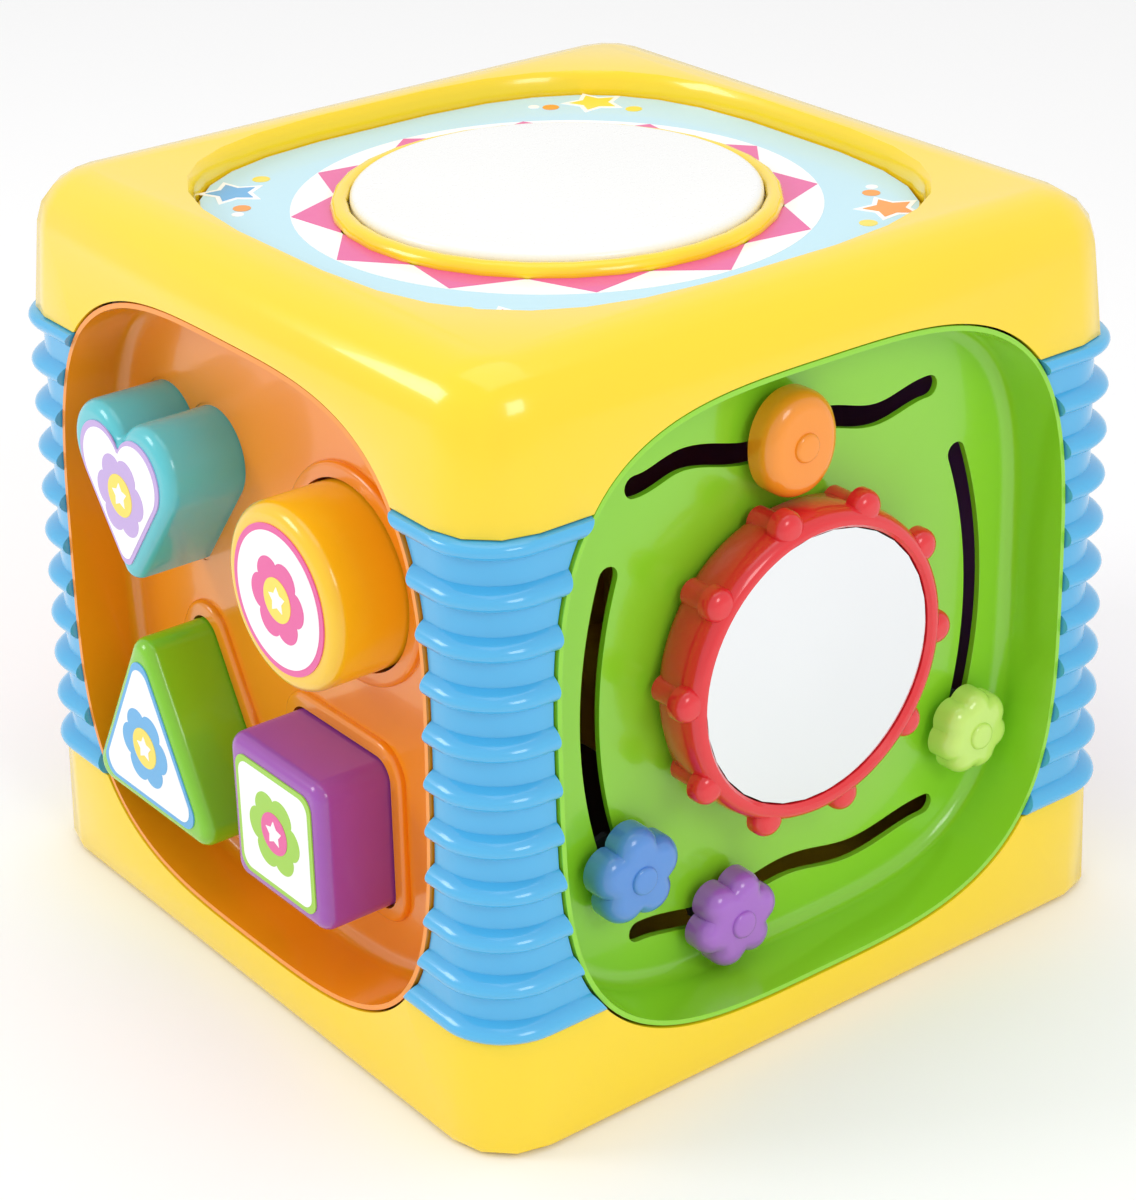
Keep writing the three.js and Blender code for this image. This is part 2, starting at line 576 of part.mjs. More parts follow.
function topLabel() {
  const sheet = slab(deckOutline(-0.8), DECK.top + GAP, DECK.top + GAP + 0.4);
  return cut(sheet, post(0, 0, DRUM.collarR + GAP, DECK.top - 5, DECK.top + 5, 32));
}

function drumCollar() {
  const z = DECK.top + GAP;
  const [inner, outer] = [DRUM.padR + 0.9, DRUM.collarR];
  return turned([[inner, z], [outer, z], [outer, z + 2], [outer - 1, z + 4.2], [outer - 3, z + 5.2],
    [inner + 0.8, z + 4.6], [inner, z + 3.6]], 32);
}

function drumPad() {
  const { padR, top, skirtBottom, flangeR } = DRUM;
  return turned([[0, top - 3], [padR - 3, top - 3], [padR - 3, skirtBottom + 2], [padR - 3, skirtBottom],
    [flangeR, skirtBottom], [flangeR, skirtBottom + 2], [padR, skirtBottom + 2], [padR, top - 3],
    [padR - 1, top - 1.1], [padR - 3.5, top], [0, top + 0.8]], 28);
}

function drumCarrier() {
  const floorZ = DRUM.seat - 3;
  const legs = corners((sx, sy) => post(sx * 60, sy * 60, 5, floorZ, DECK.top - DECK.skin - GAP, 8));
  const cross = [slab(rectangle(66, 12, 4), floorZ, floorZ + 2.4), slab(rectangle(12, 66, 4), floorZ, floorZ + 2.4)];
  const rim = cut(slab(square(66, 8, 3), floorZ, floorZ + 2.4), slab(square(54, 6, 3), floorZ - 1, floorZ + 4));
  const seat = cut(post(0, 0, 9, floorZ + 1, floorZ + 9), post(0, 0, 6, floorZ + 4, floorZ + 12));
  return join(rim, ...cross, ...legs, seat);
}

function drumSpring() {
  const [z0, z1, r, wire, turns] = [DRUM.seat + 0.6, DRUM.top - 4.4, 12, 0.8, 4];
  class Helix extends THREE.Curve {
    getPoint(t) {
      const a = t * turns * 2 * Math.PI;
      return new THREE.Vector3(r * Math.cos(a), r * Math.sin(a), z0 + (z1 - z0) * t);
    }
  }
  const section = new THREE.Shape(circle(wire, 5).map((p) => new THREE.Vector2(p.x, p.y)));
  const made = new THREE.ExtrudeGeometry(section, { steps: turns * 10, extrudePath: new Helix() });
  return solidFacingOut(indexed(made));
}

// ---------------------------------------------------------------- inside and underneath
const doorScrewY = TUB.v - 5;

function batteryTub() {
  const { u, v, top } = TUB;
  const z0 = STAND + WALL + GAP;
  const flange = slab(rectangle(u + 6, v + 6, 4), z0, z0 + 2);
  const walls = slab(rectangle(u, v, 4), z0, top);
  const pocket = slab(rectangle(u - 2, v - 2, 3), z0 - 1, top - 2);
  const boss = cut(post(0, doorScrewY, 3.4, z0, top), post(0, doorScrewY, BOSS.pilot, z0 - 1, z0 + 8, 6));
  return join(cut(join(flange, walls), pocket), boss);
}

function batteryDoor() {
  const panel = slab(rectangle(TUB.u - GAP, TUB.v - GAP, 5), STAND, STAND + WALL);
  return cut(panel, post(0, doorScrewY, 3.6, FOOT, STAND + 2), post(0, doorScrewY, BOSS.pilot, FOOT, 10, 6));
}

const cell = (i) => {
  const y = CELL.y + (i - 1) * (2 * CELL.r + 1);
  const bar = new THREE.CylinderGeometry(CELL.r, CELL.r, CELL.length, 12).rotateZ(Math.PI / 2);
  const nub = new THREE.CylinderGeometry(2.6, 2.6, 2, 8).rotateZ(Math.PI / 2).translate(CELL.length / 2 + 0.6, 0, 0);
  return join(solid(bar.translate(0, y, CELL.z)), solid(nub.translate(0, y, CELL.z)));
};

// A screw driven upwards, its head's upper face at height z.
const screw = (x, y, z, headR, shankTop) =>
  join(post(x, y, headR, z - SCREW.headHeight, z), post(x, y, SCREW.shankR, z - 0.5, shankTop, 6));

// ---------------------------------------------------------------- assembly
const cutters = dishCutters();
node("top_cap", topCap(cutters), "yellow");
node("bottom_base", bottomBase(cutters), "yellow");
const postNames = ["back_right", "back_left", "front_left", "front_right"];
cornerPosts(cutters).forEach((made, i) => node(`corner_post_${postNames[i]}`, made, "blue"));

node("sorter_panel", sorterPanel(), "orange", { parent: sides.front });
for (const [name, place] of Object.entries(BLOCKS)) {
  node(`${name}_block`, block(place), place.colour, { parent: sides.front });
  node(`${name}_sticker`, sticker(place), "white", { parent: sides.front });
}

node("mirror_panel", mirrorPanel(), "green", { parent: sides.right });
node("mirror_ring", mirrorRing(), "red", { parent: sides.right });
const glassW = MIRROR.front - 5 + GAP;
node("mirror_glass", peg(0, MIRROR.z, MIRROR.glassR, glassW, glassW + 2.4, 30), "mirror",
  { parent: sides.right, roughness: 0.05, metalness: 1 });
const clipBack = DISH.floor - DISH.skin - 0.6;
node("mirror_clip", cut(peg(0, MIRROR.z, 14, clipBack - 3, clipBack, 16), peg(0, MIRROR.z, 8 + GAP, 100, 130, 16)),
  "black", { parent: sides.right });
for (const [name, place] of Object.entries(KNOBS)) {
  node(`${name}_slider`, knob(place), place.colour, { parent: sides.right });
  node(`${name}_slider_disc`, knobDisc(place), "black", { parent: sides.right });
}

node("gear_panel", gearPanel(), "violet", { parent: sides.back });
const phases = gearPhases();
for (const [name, place] of Object.entries(GEARS))
  node(`${name}_gear`, gear(place, phases[name]), place.colour, { parent: sides.back });
node("pinwheel", spinner(), "red", { parent: sides.back });

node("keyboard_panel", keyboardPanel(), "coral", { parent: sides.left });
["red", "orange", "yellow", "lime", "azure"].forEach((colour, i) =>
  node(`piano_key_${i + 1}`, pianoKey(i), colour, { parent: sides.left }));
node("speaker", speaker(), "black", { parent: sides.left });
node("power_switch", powerSwitch(), "azure", { parent: sides.left });
node("circuit_board", plate(shift(rectangle(34, 26, 2), 20, 100), 104, 105.6), "board", { parent: sides.left });

node("drum_deck", drumDeck(), "yellow");
node("top_label", topLabel(), "sky");
node("drum_collar", drumCollar(), "yellow");
node("drum_pad", drumPad(), "white");
node("drum_carrier", drumCarrier(), "white");
node("drum_spring", drumSpring(), "metal", { metalness: 1 });

node("battery_tub", batteryTub(), "black");
node("battery_door", batteryDoor(), "yellow");
[0, 1, 2].forEach((i) => node(`battery_cell_${i + 1}`, cell(i), "metal", { metalness: 0.6 }));
node("battery_door_screw", screw(0, doorScrewY, STAND + 2 - GAP, 3.2, 8), "metal", { metalness: 1 });
corners((sx, sy) => [sx, sy]).forEach(([sx, sy], i) =>
  node(`case_screw_${i + 1}`, screw(sx * BOSS.at, sy * BOSS.at, STAND + BOSS.counterbore - GAP, 3.4, LOWER_SEAM + 14), "metal",
    { metalness: 1 }));

root.position.z = -FOOT;
export default root;
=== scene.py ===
"""A baby activity cube: the fine surface and the finishes of its shell, panels and toys."""
import json
import logging
import math
from dataclasses import dataclass, field
from enum import Enum
from typing import Optional

import bpy
from mathutils import Matrix, Vector

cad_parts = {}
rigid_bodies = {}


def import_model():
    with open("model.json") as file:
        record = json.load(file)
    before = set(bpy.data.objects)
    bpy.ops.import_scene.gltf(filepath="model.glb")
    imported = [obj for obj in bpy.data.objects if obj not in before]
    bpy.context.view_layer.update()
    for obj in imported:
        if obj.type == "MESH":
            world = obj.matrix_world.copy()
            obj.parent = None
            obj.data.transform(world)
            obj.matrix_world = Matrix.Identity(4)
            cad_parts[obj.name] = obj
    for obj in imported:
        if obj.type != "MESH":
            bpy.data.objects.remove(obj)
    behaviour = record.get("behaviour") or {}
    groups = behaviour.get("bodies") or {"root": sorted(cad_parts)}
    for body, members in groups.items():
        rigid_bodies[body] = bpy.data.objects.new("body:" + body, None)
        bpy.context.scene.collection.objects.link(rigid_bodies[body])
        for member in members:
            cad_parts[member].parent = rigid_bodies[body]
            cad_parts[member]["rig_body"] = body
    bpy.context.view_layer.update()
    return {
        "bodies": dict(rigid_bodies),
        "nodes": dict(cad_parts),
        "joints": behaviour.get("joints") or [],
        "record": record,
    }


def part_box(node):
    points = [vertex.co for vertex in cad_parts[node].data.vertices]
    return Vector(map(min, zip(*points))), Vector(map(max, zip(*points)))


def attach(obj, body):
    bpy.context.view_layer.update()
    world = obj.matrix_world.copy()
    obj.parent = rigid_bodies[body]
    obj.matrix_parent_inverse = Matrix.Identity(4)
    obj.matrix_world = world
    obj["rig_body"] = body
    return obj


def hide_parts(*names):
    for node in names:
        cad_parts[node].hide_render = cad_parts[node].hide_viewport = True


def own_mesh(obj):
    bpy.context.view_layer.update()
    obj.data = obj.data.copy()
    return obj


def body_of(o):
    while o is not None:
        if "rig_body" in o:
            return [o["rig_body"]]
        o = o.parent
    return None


log = logging.getLogger("activity_cube")

MM = 0.001
LIFT = 3.0
TRAY_HALF_U, TRAY_HALF_V, TRAY_POWER, TRAY_MIDDLE = 113.5, 114.5, 3.4, 131.0
ARCH_GAP, ARCH_FROM, ARCH_TO = 0.7, 116.0, 160.0
SLOT_HALF = 4.0
MIRROR_HEIGHT, MIRROR_BORE = 134.0, 8.4
Point = tuple[float, float]


class Side(Enum):
    """The five faces of the cube that carry toys, by their quarter turn about the upright axis."""

    FRONT = 0
    RIGHT = 1
    BACK = 2
    LEFT = 3
    TOP = -1

    def matrix(self) -> Matrix:
        """Gives the matrix from x right, y up, z outward in mm to the frame's metres."""
        lifted = Matrix.Translation((0, 0, LIFT * MM)) @ Matrix.Scale(MM, 4)
        if self is Side.TOP:
            return lifted
        upright = Matrix(((1, 0, 0, 0), (0, 0, -1, 0), (0, 1, 0, 0), (0, 0, 0, 1)))
        return lifted @ Matrix.Rotation(math.radians(90) * self.value, 4, "Z") @ upright


# Outlines -----------------------------------------------------------------------------------------


def arc(x: float, y: float, r: float, start: float, end: float, steps: int) -> list[Point]:
    """Gives points on a circle's arc, from start to end in degrees.

    Args:
        x: The circle's middle.
        y: The height of its middle.
        r: Its radius.
        start: The first angle.
        end: The last angle.
        steps: The steps between them.

    Returns:
        The points.
    """
    turns = [math.radians(start + (end - start) * i / steps) for i in range(steps + 1)]
    return [(x + r * math.cos(t), y + r * math.sin(t)) for t in turns]


def ring_points(x: float, y: float, r: float, count: int = 64) -> list[Point]:
    """Gives a full circle's points."""
    return arc(x, y, r, 0, 360, count)[:-1]


def rounded(corners: list[Point], r: float, steps: int = 8) -> list[Point]:
    """Rounds each corner of an anticlockwise polygon.

    Args:
        corners: The polygon's corners, in mm.
        r: The radius of each corner.
        steps: The steps in each corner's arc.

    Returns:
        The outline with an arc at each corner.
    """
    points = []
    for i, corner in enumerate(corners):
        here = Vector(corner)
        before = (Vector(corners[i - 1]) - here).normalized()
        after = (Vector(corners[(i + 1) % len(corners)]) - here).normalized()
        half = before.angle(after) / 2
        middle = here + (before + after).normalized() * (r / math.sin(half))
        start = here + before * (r / math.tan(half)) - middle
        angle = math.atan2(start.y, start.x)
        for k in range(steps + 1):
            t = angle + (math.pi - 2 * half) * k / steps
            points.append((middle.x + r * math.cos(t), middle.y + r * math.sin(t)))
    return points


def square_corners(half: float) -> list[Point]:
    """Gives a square's corners about the middle."""
    return [(half, -half), (half, half), (-half, half), (-half, -half)]


def petals(x: float, y: float, count: int, r: float, depth: float, phase: float) -> list[Point]:
    """Gives a flower's outline, with its petals' tips at radius r + depth / 2.

    Args:
        x: Its middle.
        y: The height of its middle.
        count: The petals.
        r: The mean radius.
        depth: How far the petals stand out.
        phase: The first petal's angle, in radians.

    Returns:
        The outline.
    """
    points = []
    for i in range(count * 16):
        t = 2 * math.pi * i / (count * 16)
        size = r - depth / 2 + depth * abs(math.cos(count * (t - phase) / 2)) ** 0.7
        points.append((x + size * math.cos(t), y + size * math.sin(t)))
    return points


def star(x: float, y: float, r: float, turn: float = 90) -> list[Point]:
    """Gives a soft five-pointed star."""
    tips = [(r if i % 2 == 0 else r * 0.55, math.radians(turn + 36 * i)) for i in range(10)]
    return [(x + size * math.cos(t), y + size * math.sin(t)) for size, t in tips]


def superellipse(half_u: float, half_v: float, power: float, y: float = 0, count: int = 200) -> list[Point]:
    """Gives a rounded-square outline that follows a power curve.

    Args:
        half_u: Half its width, in mm.
        half_v: Half its height.
        power: How square it is.
        y: The height of its middle.
        count: Its number of points.

    Returns:
        The outline, anticlockwise.
    """
    points = []
    for i in range(count):
        t = 2 * math.pi * i / count
        c, s = math.cos(t), math.sin(t)
        size = (abs(c / half_u) ** power + abs(s / half_v) ** power) ** (-1 / power)
        points.append((size * c, y + size * s))
    return points


def heart(x: float, y: float) -> list[Point]:
    """Gives a plump heart: two lobes and a rounded tip that share their slanted tangents.

    Args:
        x: Its middle.
        y: The height of its middle.

    Returns:
        The outline, anticlockwise.
    """
    lobe_x, lobe_y, lobe, tip, slant = 15.5, 12.5, 17.5, 6.0, 36.9
    lean = math.radians(slant)
    tip_y = lobe_y - (lobe_x * math.cos(lean) + lobe - tip) / math.sin(lean)
    right = arc(lobe_x, lobe_y, lobe, -slant, 147, 26)
    left = [(-u, v) for u, v in reversed(right)]
    bottom = arc(0, tip_y, tip, 180 + slant, 360 - slant, 10)
    return [(x + u, y + v) for u, v in right + left + bottom[1:-1]]


def grown(outline: list[Point], by: float) -> list[Point]:
    """Moves an anticlockwise outline outwards by a distance, or inwards where it is negative.

    Args:
        outline: The outline.
        by: The distance, in mm.

    Returns:
        The moved outline.
    """
    points = []
    for i, (x, y) in enumerate(outline):
        before, after = Vector(outline[i - 1]), Vector(outline[(i + 1) % len(outline)])
        along = (after - before).normalized()
        points.append((x + along.y * by, y - along.x * by))
    return points


def shrunk(outline: list[Point], middle: Point, share: float) -> list[Point]:
    """Scales an outline about its middle."""
    return [(middle[0] + (x - middle[0]) * share, middle[1] + (y - middle[1]) * share) for x, y in outline]


def ribbon(path: list[Point], half: float) -> list[Point]:
    """Gives the outline of a slot of constant width along a path, with round ends.

    Args:
        path: The middle line, in mm.
        half: Half the slot's width.

    Returns:
        The closed outline.
    """
    sides: tuple[list[Point], list[Point]] = ([], [])
    for i, here in enumerate(path):
        before, after = Vector(path[max(i - 1, 0)]), Vector(path[min(i + 1, len(path) - 1)])
        along = (after - before).normalized()
        for points, sign in zip(sides, (1, -1)):
            points.append((here[0] + along.y * half * sign, here[1] - along.x * half * sign))
    ends = []
    for tip, inner in ((path[-1], path[-2]), (path[0], path[1])):
        aim = math.degrees(math.atan2(tip[1] - inner[1], tip[0] - inner[0]))
        ends.append(arc(*tip, half, aim - 90, aim + 90, 8)[1:-1])
    return sides[0] + ends[0] + sides[1][::-1] + ends[1]


def wave(xs: list[float], level: float, slope: float, first: int, height: float = 2.3) -> list[Point]:
    """Gives a gently waving path whose crests and troughs stand at xs.

    Args:
        xs: Where the crests and troughs stand.
        level: The middle line's height.
        slope: Its rise per mm.
        first: 1 to start at a crest, -1 at a trough.
        height: The crests' height.

    Returns:
        The path's points.
    """
    path = []
    for k, (start, end) in enumerate(zip(xs, xs[1:])):
        for i in range(10):
            x = start + (end - start) * i / 10
            swing = first * (-1) ** k * math.cos(math.pi * i / 10)
            path.append((x, level + slope * x + height * swing))
    path.append((xs[-1], level + slope * xs[-1] + height * first * (-1) ** (len(xs) - 1)))
    return path


# Mesh work ----------------------------------------------------------------------------------------


def clear_selection() -> None:
    """Leaves object mode with nothing selected."""
    if bpy.context.object and bpy.context.object.mode != "OBJECT":
        bpy.ops.object.mode_set(mode="OBJECT")
    bpy.ops.object.select_all(action="DESELECT")


def pick(obj: bpy.types.Object) -> None:
    """Makes obj the only selected object and the active one."""
    clear_selection()
    obj.select_set(True)
    bpy.context.view_layer.objects.active = obj


def settle(obj: bpy.types.Object, side: Side) -> None:
    """Merges doubles, turns faces outwards and puts the mesh in its place in the frame.

    Args:
        obj: The piece, in its face's own mm.
        side: The face it belongs to.
    """
    pick(obj)
    bpy.ops.object.mode_set(mode="EDIT")
    bpy.ops.mesh.select_all(action="SELECT")
    bpy.ops.mesh.remove_doubles(threshold=0.001)
    bpy.ops.mesh.normals_make_consistent(inside=False)
    bpy.ops.object.mode_set(mode="OBJECT")
    obj.data.transform(side.matrix())
    bpy.ops.object.shade_smooth_by_angle(angle=math.radians(38))


def plate(name: str, outline: list[Point], low: float) -> bpy.types.Object:
    """Adds a flat face of that outline at height low, in mm.

    Args:
        name: The object's name.
        outline: The outline, in mm.
        low: The height.

    Returns:
        The object.
    """
    clear_selection()
    bpy.ops.mesh.primitive_circle_add(vertices=len(outline), radius=1, fill_type="NGON")
    obj = bpy.context.object
    obj.name = obj.data.name = name
    for vertex, (x, y) in zip(obj.data.vertices, outline):
        vertex.co = (x, y, low)
    return obj


def prism(name: str, outline: list[Point], low: float, high: float, edge: float = 0, steps: int = 4,
          side: Optional[Side] = None) -> bpy.types.Object:
    """Extrudes an outline and rounds its front edge.

    Args:
        name: The piece's name.
        outline: Its anticlockwise outline, in mm.
        low: Where its back lies.
        high: Where its front lies.
        edge: The radius of the rounded front edge.
        steps: The steps in that round.
        side: The face it belongs to; without one it stays in its own mm.

    Returns:
        The object.
    """
    obj = plate(name, outline, low)
    pick(obj)
    bpy.ops.object.mode_set(mode="EDIT")
    bpy.ops.mesh.select_all(action="SELECT")
    bpy.ops.mesh.extrude_region_move(TRANSFORM_OT_translate={"value": (0, 0, high - low - edge)})
    for i in range(1, steps + 1 if edge else 1):
        before, now = (math.pi / 2 * k / steps for k in (i - 1, i))
        bpy.ops.mesh.inset(thickness=edge * (math.cos(before) - math.cos(now)),
                           depth=edge * (math.sin(now) - math.sin(before)), use_even_offset=False)
    bpy.ops.object.mode_set(mode="OBJECT")
    if side is not None:
        settle(obj, side)
    return obj


def lathe(name: str, profile: list[Point], side: Side, x: float = 0, y: float = 0,
          steps: int = 96) -> bpy.types.Object:
    """Spins a profile of (radius, height) about the outward axis through x, y.

    Args:
        name: The object's name.
        profile: The closed profile.
        side: The face it belongs to.
        x: The axis's place.
        y: The axis's height.
        steps: The steps in the full turn.

    Returns:
        The object.
    """
    clear_selection()
    bpy.ops.mesh.primitive_circle_add(vertices=len(profile), radius=1, fill_type="NOTHING")
    obj = bpy.context.object
    obj.name = obj.data.name = name
    for vertex, (r, z) in zip(obj.data.vertices, profile):
        vertex.co = (x + r, y, z)
    bpy.ops.object.mode_set(mode="EDIT")
    bpy.ops.mesh.select_all(action="SELECT")
    bpy.ops.mesh.spin(steps=steps, angle=2 * math.pi, center=(x, y, 0), axis=(0, 0, 1))
    bpy.ops.object.mode_set(mode="OBJECT")
    settle(obj, side)
    return obj


def merged_copy(frame: dict, node: str) -> bpy.types.Object:
    """Copies a CAD node's shape with its loose triangles merged, so that its edges can be rounded.

    Args:
        node: The node's name.

    Returns:
        The copy.
    """
    source = frame["nodes"][node]
    clear_selection()
    copy = bpy.data.objects.new(node + "_skin", source.data.copy())
    bpy.context.collection.objects.link(copy)
    copy.matrix_world = Matrix.Identity(4)
    pick(copy)
    bpy.ops.object.mode_set(mode="EDIT")
    bpy.ops.mesh.select_all(action="SELECT")
    bpy.ops.mesh.remove_doubles(threshold=0.00002)
    bpy.ops.mesh.tris_convert_to_quads(face_threshold=math.radians(3), shape_threshold=math.radians(60))
    bpy.ops.object.mode_set(mode="OBJECT")
    return copy


def soften(obj: bpy.types.Object, width: float, segments: int = 3, angle: float = 40) -> None:
    """Rounds the sharp edges of a piece with an applied bevel and evens out its shading.

    Args:
        obj: The piece.
        width: The bevel's width, in mm.
        segments: Its steps.
        angle: The least angle that counts as an edge, in degrees.
    """
    pick(obj)
    bevel = obj.modifiers.new("rounded_edges", "BEVEL")
    bevel.width = width * MM
    bevel.segments = segments
    bevel.limit_method = "ANGLE"
    bevel.angle_limit = math.radians(angle)
    bevel.use_clamp_overlap = True
    bevel.harden_normals = False
    bpy.ops.object.modifier_apply(modifier=bevel.name)
    bpy.ops.object.shade_smooth_by_angle(angle=math.radians(35))


def face_outwards(obj: bpy.types.Object) -> None:
    """Turns a closed piece's faces outwards."""
    pick(obj)
    bpy.ops.object.mode_set(mode="EDIT")
    bpy.ops.mesh.select_all(action="SELECT")
    bpy.ops.mesh.normals_make_consistent(inside=False)
    bpy.ops.object.mode_set(mode="OBJECT")


def combine(obj: bpy.types.Object, tool: bpy.types.Object, operation: str) -> None:
    """Cuts obj by tool or welds tool to it, and removes the tool.

    Args:
        obj: The piece that stays.
        tool: The closed piece that cuts or joins it.
        operation: DIFFERENCE or UNION.
    """
    face_outwards(tool)
    pick(obj)
    boolean = obj.modifiers.new("combine", "BOOLEAN")
    boolean.operation, boolean.solver, boolean.object = operation, "EXACT", tool
    bpy.ops.object.modifier_apply(modifier=boolean.name)
    bpy.data.objects.remove(tool)


def gather(obj: bpy.types.Object, *others: bpy.types.Object) -> None:
    """Joins other meshes into obj.

    Args:
        obj: The mesh that stays.
        others: The meshes that become part of it.
    """
    pick(obj)
    for other in others:
        other.select_set(True)
    bpy.ops.object.join()


# Finishes -----------------------------------------------------------------------------------------


def linear(colour: str) -> tuple[float, float, float, float]:
    """Turns a hex colour into linear light."""
    parts = [int(colour[i:i + 2], 16) / 255 for i in (0, 2, 4)]
    values = [c / 12.92 if c <= 0.04045 else ((c + 0.055) / 1.055) ** 2.4 for c in parts]
    return (*values, 1)


def node_group(name: str, inputs: dict[str, float], outputs: dict[str, str]) -> bpy.types.NodeTree:
    """Starts a shader node group with float inputs and typed outputs.

    Args:
        name: The group's name.
        inputs: Each input and its value.
        outputs: Each output and its type.

    Returns:
        The group.
    """
    tree = bpy.data.node_groups.new(name, "ShaderNodeTree")
    for label, value in inputs.items():
        tree.interface.new_socket(label, in_out="INPUT", socket_type="NodeSocketFloat").default_value = value
    for label, kind in outputs.items():
        tree.interface.new_socket(label, in_out="OUTPUT", socket_type=kind)
    return tree


def moulding_grain() -> bpy.types.NodeTree:
    """Builds the shared effect of moulded plastic.

    Returns:
        A group that puts out a slow tint, a fine roughness mottle and a shallow relief height.
    """
    tree = node_group("moulding_grain", {"Scale": 60.0, "Gloss": 0.2},
                      {name: "NodeSocketFloat" for name in ("Tint", "Roughness", "Height")})
    nodes, links = tree.nodes, tree.links
    given, out = nodes.new("NodeGroupInput"), nodes.new("NodeGroupOutput")
    place = nodes.new("ShaderNodeTexCoord")
    slow, fine = nodes.new("ShaderNodeTexNoise"), nodes.new("ShaderNodeTexNoise")
    slow.inputs["Scale"].default_value = 9
    slow.inputs["Detail"].default_value = 3
    fine.inputs["Detail"].default_value = 4
    links.new(given.outputs["Scale"], fine.inputs["Scale"])
    for noise in (slow, fine):
        links.new(place.outputs["Object"], noise.inputs["Vector"])
    tint = nodes.new("ShaderNodeMapRange")
    tint.inputs["To Min"].default_value, tint.inputs["To Max"].default_value = 0.96, 1.04
    links.new(slow.outputs["Fac"], tint.inputs["Value"])
    links.new(tint.outputs["Result"], out.inputs["Tint"])
    spread = nodes.new("ShaderNodeMath")
    spread.operation = "MULTIPLY_ADD"
    spread.inputs[1].default_value = 0.12
    links.new(fine.outputs["Fac"], spread.inputs[0])
    links.new(given.outputs["Gloss"], spread.inputs[2])
    links.new(spread.outputs[0], out.inputs["Roughness"])
    links.new(fine.outputs["Fac"], out.inputs["Height"])
    return tree


@dataclass(frozen=True)
class Finish:
    """A glossy or satin moulded finish, with its colour, gloss and clear top."""

    slot: str
    colour: str
    gloss: float = 0.16
    coat: float = 0.5
    metal: float = 0.0
    grain: float = 260.0
    relief: float = 0.012

    def material(self, grain: bpy.types.NodeTree) -> bpy.types.Material:
        """Builds the material.

        Args:
            grain: The shared moulding effect.

        Returns:
            The material, with its Principled shader fed by that effect.
        """
        material = bpy.data.materials.new(self.slot + "_finish")
        material.use_nodes = True
        nodes, links = material.node_tree.nodes, material.node_tree.links
        shader = nodes["Principled BSDF"]
        shader.inputs["Metallic"].default_value = self.metal
        shader.inputs["Coat Weight"].default_value = self.coat
        shader.inputs["Coat Roughness"].default_value = 0.06
        effect = nodes.new("ShaderNodeGroup")
        effect.node_tree = grain
        effect.inputs["Scale"].default_value = self.grain
        effect.inputs["Gloss"].default_value = self.gloss
        shade = nodes.new("ShaderNodeMix")
        shade.data_type = "RGBA"
        shade.blend_type = "MULTIPLY"
        shade.inputs["Factor"].default_value = 1
        shade.inputs["A"].default_value = (1, 1, 1, 1)
        shade.inputs[6].default_value = linear(self.colour)
        links.new(effect.outputs["Tint"], shade.inputs[7])
        links.new(shade.outputs[2], shader.inputs["Base Color"])
        links.new(effect.outputs["Roughness"], shader.inputs["Roughness"])
        bump = nodes.new("ShaderNodeBump")
        bump.inputs["Strength"].default_value = self.relief
        bump.inputs["Distance"].default_value = 0.0006
        links.new(effect.outputs["Height"], bump.inputs["Height"])
        links.new(bump.outputs["Normal"], shader.inputs["Normal"])
        return material


FINISHES = [
    Finish("yellow_shell", "FBD81C"), Finish("blue_post", "4FB4E6"), Finish("orange_panel", "F79410"),
    Finish("green_panel", "8FD62A"), Finish("plum_panel", "9A57B8"), Finish("coral_panel", "F0705A"),
    Finish("red_plastic", "E4232C"), Finish("white_plastic", "F4F4F2", 0.22, relief=0.003),
    Finish("turquoise_plastic", "56C4CE"), Finish("sun_plastic", "F8C81A"), Finish("lime_plastic", "7FCB1E"),
    Finish("violet_plastic", "9B4BB0"), Finish("amber_plastic", "F99420"), Finish("azure_plastic", "5590DC"),
    Finish("lilac_plastic", "A868CC"), Finish("pale_green_plastic", "C8EC70"),
    Finish("mirror_film", "F2F4F6", 0.02, 0.0, 1.0, 90.0, 0.004),
    Finish("printed_film", "BFE6F4", 0.3, 0.3), Finish("dark_plastic", "33363B", 0.35, 0.1),
    Finish("circuit", "1F6B3A", 0.4, 0.2), Finish("steel", "B8BBC0", 0.22, 0.0, 1.0, 400.0, 0.03),
]

PRINTS = {"white_ink": "FFFFFF", "pink_ink": "E8559F", "blue_ink": "5AAEE6", "orange_ink": "F89A2A",
          "yellow_ink": "FBE04A", "lilac_ink": "C3A6E0", "green_ink": "9ED43A", "dark_ink": "5A3A5A"}


class Workshop:
    """Holds the frame and the finishes, and hands finished pieces to their bodies."""

    def __init__(self, frame: dict) -> None:
        """Builds each finish once."""
        self.frame = frame
        grain = moulding_grain()
        self.finishes = {f.slot: f.material(grain) for f in FINISHES}
        for name, colour in PRINTS.items():
            self.finishes[name] = Finish(name, colour, 0.28, 0.35).material(grain)

    def paint(self, obj: bpy.types.Object, finish: str) -> None:
        """Gives obj one finish all over."""
        obj.data.materials.clear()
        obj.data.materials.append(self.finishes[finish])

    def hand_over(self, obj: bpy.types.Object, body: str, slot: str, finish: str = "",
                  replaces: tuple[str, ...] = ()) -> None:
        """Paints a finished piece, rides it on its body and hides the nodes it stands for.

        Args:
            obj: The finished piece.
            body: The body it rides on.
            slot: The record's material slot.
            finish: Its finish, where it isn't the slot's own.
            replaces: The nodes it stands for.
        """
        self.paint(obj, finish or slot)
        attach(obj, body)
        if replaces:
            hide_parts(*replaces)
        log.info("%s rides on %s in %s", obj.name, body, finish or slot)


